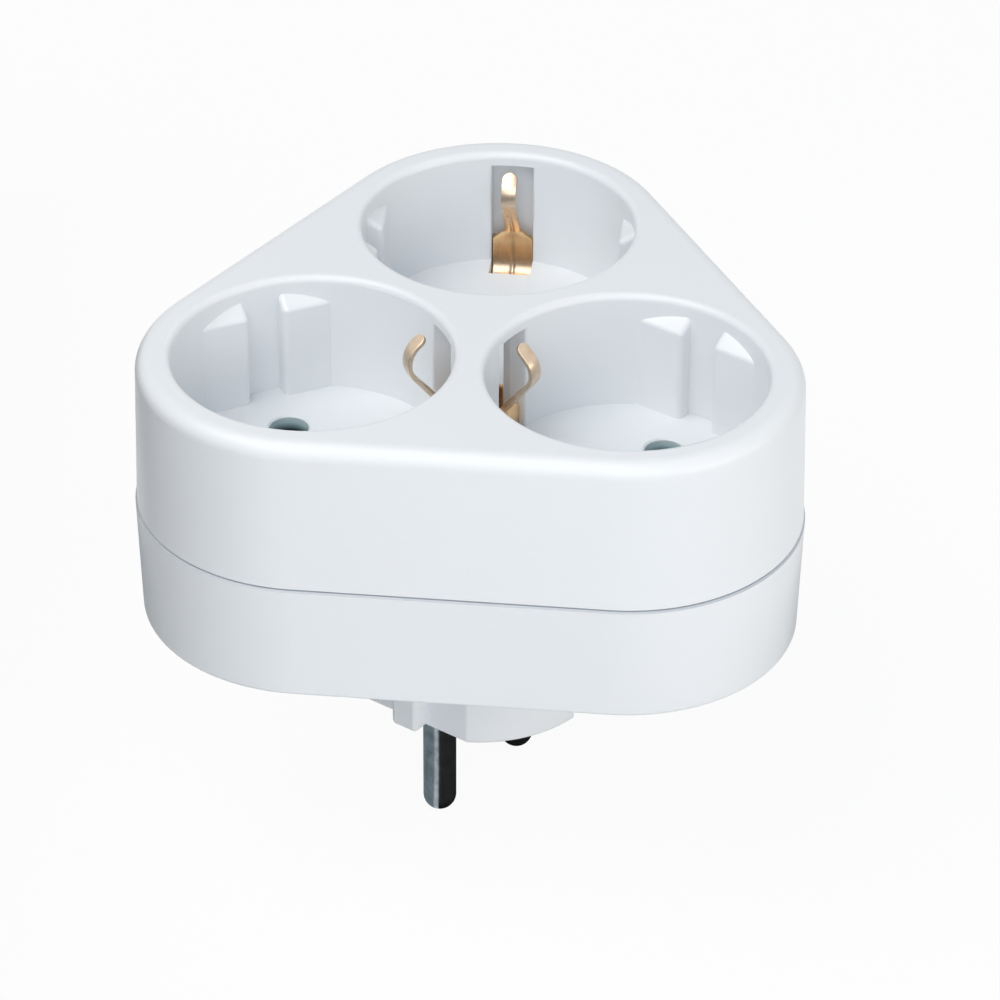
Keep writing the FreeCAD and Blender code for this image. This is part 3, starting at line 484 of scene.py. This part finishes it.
def drill(piece):
    """Punch the rivet hole through the part of a clip that lies under the well's floor."""
    tool = bmesh.new()
    bmesh.ops.create_cone(tool, segments=HOLE_SIDES, radius1=RIVET_HOLE * MM, radius2=RIVET_HOLE * MM,
                          depth=4 * CLIP_THICKNESS * MM, cap_ends=True,
                          matrix=Matrix.Translation(Vector((RIVET_PLACE, 0, STRAP_LEVEL)) * MM))
    punch_mesh = bpy.data.meshes.new("punch")
    tool.to_mesh(punch_mesh)
    tool.free()
    punch = bpy.data.objects.new("punch", punch_mesh)
    bpy.context.scene.collection.objects.link(punch)
    punch.matrix_world = piece.matrix_world
    cut = piece.modifiers.new("rivet_hole", "BOOLEAN")
    cut.object = punch
    cut.operation = "DIFFERENCE"
    bpy.context.view_layer.update()
    seen = piece.evaluated_get(bpy.context.evaluated_depsgraph_get())
    drilled = bpy.data.meshes.new_from_object(seen)
    piece.modifiers.clear()
    piece.data = drilled
    bpy.data.objects.remove(punch)


spring = bronze()
for name, angle, finger, side_step in CLIPS:
    shape = clip_mesh(name, finger, side_step)
    shape.materials.append(spring)
    clip = bpy.data.objects.new("spring_" + name, shape)
    bpy.context.scene.collection.objects.link(clip)
    clip.matrix_world = Matrix.Rotation(math.radians(angle), 4, "Z")
    drill(clip)
    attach(clip, "root")
    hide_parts(name)


# The earth path inside: a bronze star that joins the three clips, and the strap whose two
# legs are the plug's side contacts. They are pressed from the same strip as the clips.
for name in ("earth_plate", "plug_earth_strap"):
    dress(name, spring)


# The current path inside: stamped brass bars and sprung contacts, a turned brass post and
# brass rivets. They are plain and a little dull, because nothing polishes them.
BRASS = (0.75, 0.58, 0.29)
BRASS_DULL = (0.52, 0.38, 0.18)
DULL_SCALE = 300.0
STAMPING_SCALE = 1400.0
BRASS_RELIEF = 0.01 * MM
BRASS_ROUGHNESS = 0.26
DULL_ROUGHNESS = 0.16


def brass():
    shader = Shader(bpy.data.materials.new("brass"))
    place = shader.add("ShaderNodeTexCoord", output="Object")
    dulled = shader.noise(place, DULL_SCALE, 5.0, 0.6)
    stamping = shader.noise(place, STAMPING_SCALE, 3.0)
    return shader.finish(Base_Color=shader.between(BRASS, BRASS_DULL, dulled), Metallic=1.0,
                         Roughness=BRASS_ROUGHNESS + DULL_ROUGHNESS * dulled,
                         Normal=shader.bump(stamping, BRASS_RELIEF))


stamped = brass()
for name in sorted(nodes):
    if name.endswith("busbar") or "_contact" in name or name.endswith("rivets") or name == "earth_post":
        dress(name, stamped)


# The assembly screws: zinc-plated steel, driven from below into the upper housing. They
# stand deep in their holes and keep the plating's mottled crystals.
ZINC = (0.62, 0.64, 0.66)
ZINC_DULL = (0.44, 0.46, 0.49)
SPANGLE_SCALE = 900.0
ZINC_RELIEF = 0.008 * MM
ZINC_ROUGHNESS = 0.24
SPANGLE_ROUGHNESS = 0.18


def zinc():
    shader = Shader(bpy.data.materials.new("zinc"))
    place = shader.add("ShaderNodeTexCoord", output="Object")
    spangle = shader.noise(place, SPANGLE_SCALE, 4.0, 0.6)
    return shader.finish(Base_Color=shader.between(ZINC, ZINC_DULL, spangle), Metallic=1.0,
                         Roughness=ZINC_ROUGHNESS + SPANGLE_ROUGHNESS * spangle,
                         Normal=shader.bump(spangle, ZINC_RELIEF))


dress("assembly_screws", zinc())


# The studio: a white sweep under the pins and three soft lamps: high on the left, above the
# camera and low on the right. A dark card, which the camera doesn't see, shades the left side.
# The cards on the floor round the near pin glow, are no lamps, and show only in reflections: painted
# reflections in the polished nickel.
LAMP_DISTANCE = 950.0
# Name, height and direction from the camera in degrees, width and height in metres, power, colour
LAMPS = (("key", 62, -60, (0.80, 0.80), 4.72, (1.05, 1.0, 0.93)),
         ("front", 35, 0, (0.80, 0.80), 2.64, (0.98, 1.0, 1.02)),
         ("side", 12, 60, (0.90, 0.36), 2.06, (1.09, 1.0, 0.87)))
AMBIENT = 0.37
AMBIENT_COLOUR = (0.80, 0.90, 1.0)
WHITE = 1.0
FLOOR_GLOW = 0.93
FLOOR_COLOUR = (0.95, 0.95, 0.95)
FLOOR_SIZE = 6.0
# Name, the directions that it spans round the near pin in degrees (0 towards the camera, then to
# the right), brightness
PIN_CARDS = (("dark_card", -8, 180, (0.002, 0.003, 0.003)), ("pale_card", -34, -8, (0.58, 0.63, 0.66)),
             ("grey_card", -180, -34, (0.20, 0.25, 0.28)))
NEAR_PIN = Vector((-9.5, 0, 0)) * MM
PIN_CARD_REACH = 100.0
PIN_CARD_LIFT = 0.2
PIN_CARD_STEPS = 12
MATT = 0.9
LEFT_CARD_PLACE = 110.0
LEFT_CARD_HALF = 160.0
LEFT_CARD_HEIGHT = 85.0
LEFT_CARD_COLOUR = (0.030, 0.035, 0.040)


def aimed(height, direction):
    """The way from the adapter, by degrees above the floor and round from the camera."""
    level = to_front * math.cos(math.radians(direction)) + to_right * math.sin(math.radians(direction))
    return level * math.cos(math.radians(height)) + upwards * math.sin(math.radians(height))


def area_light(name, place, size, power, colour):
    """A soft lamp that looks at the adapter."""
    light = bpy.data.lights.new(name, "AREA")
    light.shape = "RECTANGLE"
    light.size = size[0]
    light.size_y = size[1]
    light.energy = power
    light.color = colour
    lamp = bpy.data.objects.new(name, light)
    bpy.context.scene.collection.objects.link(lamp)
    lamp.location = place
    lamp.rotation_euler = (place - LOOK_AT).to_track_quat("Z", "Y").to_euler()


def background_seen(shader):
    """1 where the camera, a reflection or a clear material looks straight at the background."""
    seen = shader.add("ShaderNodeLightPath", output="Is Camera Ray")
    seen = seen.or_else(shader.add("ShaderNodeLightPath", output="Is Glossy Ray"))
    return seen.or_else(shader.add("ShaderNodeLightPath", output="Is Transmission Ray"))


def sheet_of(name, corners, finish):
    """A flat studio surface."""
    mesh = bpy.data.meshes.new(name)
    mesh.from_pydata(corners, [], [range(len(corners))])
    mesh.materials.append(finish)
    surface = bpy.data.objects.new(name, mesh)
    bpy.context.scene.collection.objects.link(surface)
    return surface


for name, height, direction, size, power, colour in LAMPS:
    area_light(name, LOOK_AT + aimed(height, direction) * LAMP_DISTANCE * MM, size, power, colour)

world = bpy.data.worlds.new("studio")
bpy.context.scene.world = world
sky = Shader(world, "Background")
seen_white = background_seen(sky)
sky.finish(Color=sky.between(AMBIENT_COLOUR, (1, 1, 1), seen_white),
           Strength=AMBIENT + (WHITE - AMBIENT) * seen_white)

sweep = Shader(bpy.data.materials.new("white_sweep"))
sweep.finish(Base_Color=(*FLOOR_COLOUR, 1), Roughness=MATT)
glow = sweep.add("ShaderNodeEmission", inputs={"Color": (1, 1, 1, 1), "Strength": WHITE})
shown = sweep.add("ShaderNodeMixShader", inputs={0: FLOOR_GLOW * background_seen(sweep),
                                                 1: Value(sweep, sweep.surface.outputs["BSDF"]), 2: glow})
sweep.feed(sweep.nodes["Material Output"].inputs["Surface"], shown)
half = FLOOR_SIZE / 2
floor_height = cad_box[0][2]
sheet_of("floor", [(-half, -half, floor_height), (half, -half, floor_height),
                   (half, half, floor_height), (-half, half, floor_height)], sweep.owner)

card_foot = LOOK_AT - to_right * LEFT_CARD_PLACE * MM
card_foot.z = floor_height
card_side = to_front * LEFT_CARD_HALF * MM
card_top = upwards * LEFT_CARD_HEIGHT * MM
left_dark = Shader(bpy.data.materials.new("left_card"))
left_dark.finish(Base_Color=(*LEFT_CARD_COLOUR, 1), Roughness=MATT)
left_card = sheet_of("left_card", [card_foot - card_side, card_foot + card_side,
                                   card_foot + card_side + card_top, card_foot - card_side + card_top],
                     left_dark.owner)
left_card.visible_camera = False

# Painted reflections: glowing cards that light nothing and that only the pin's reflections see.
for name, first, last, brightness in PIN_CARDS:
    shine = Shader(bpy.data.materials.new(name))
    shine.finish(Base_Color=(0, 0, 0, 1), Roughness=1.0, Emission_Color=(*brightness, 1),
                 Emission_Strength=1.0)
    middle = NEAR_PIN + upwards * (floor_height + PIN_CARD_LIFT * MM)
    edge = [middle + aimed(0, first + (last - first) * step / PIN_CARD_STEPS) * PIN_CARD_REACH * MM
            for step in range(PIN_CARD_STEPS + 1)]
    card = sheet_of(name, [middle, *edge], shine.owner)
    card.visible_camera = False
    card.visible_diffuse = False
    card.visible_shadow = False

bpy.context.scene.view_settings.view_transform = "Standard"
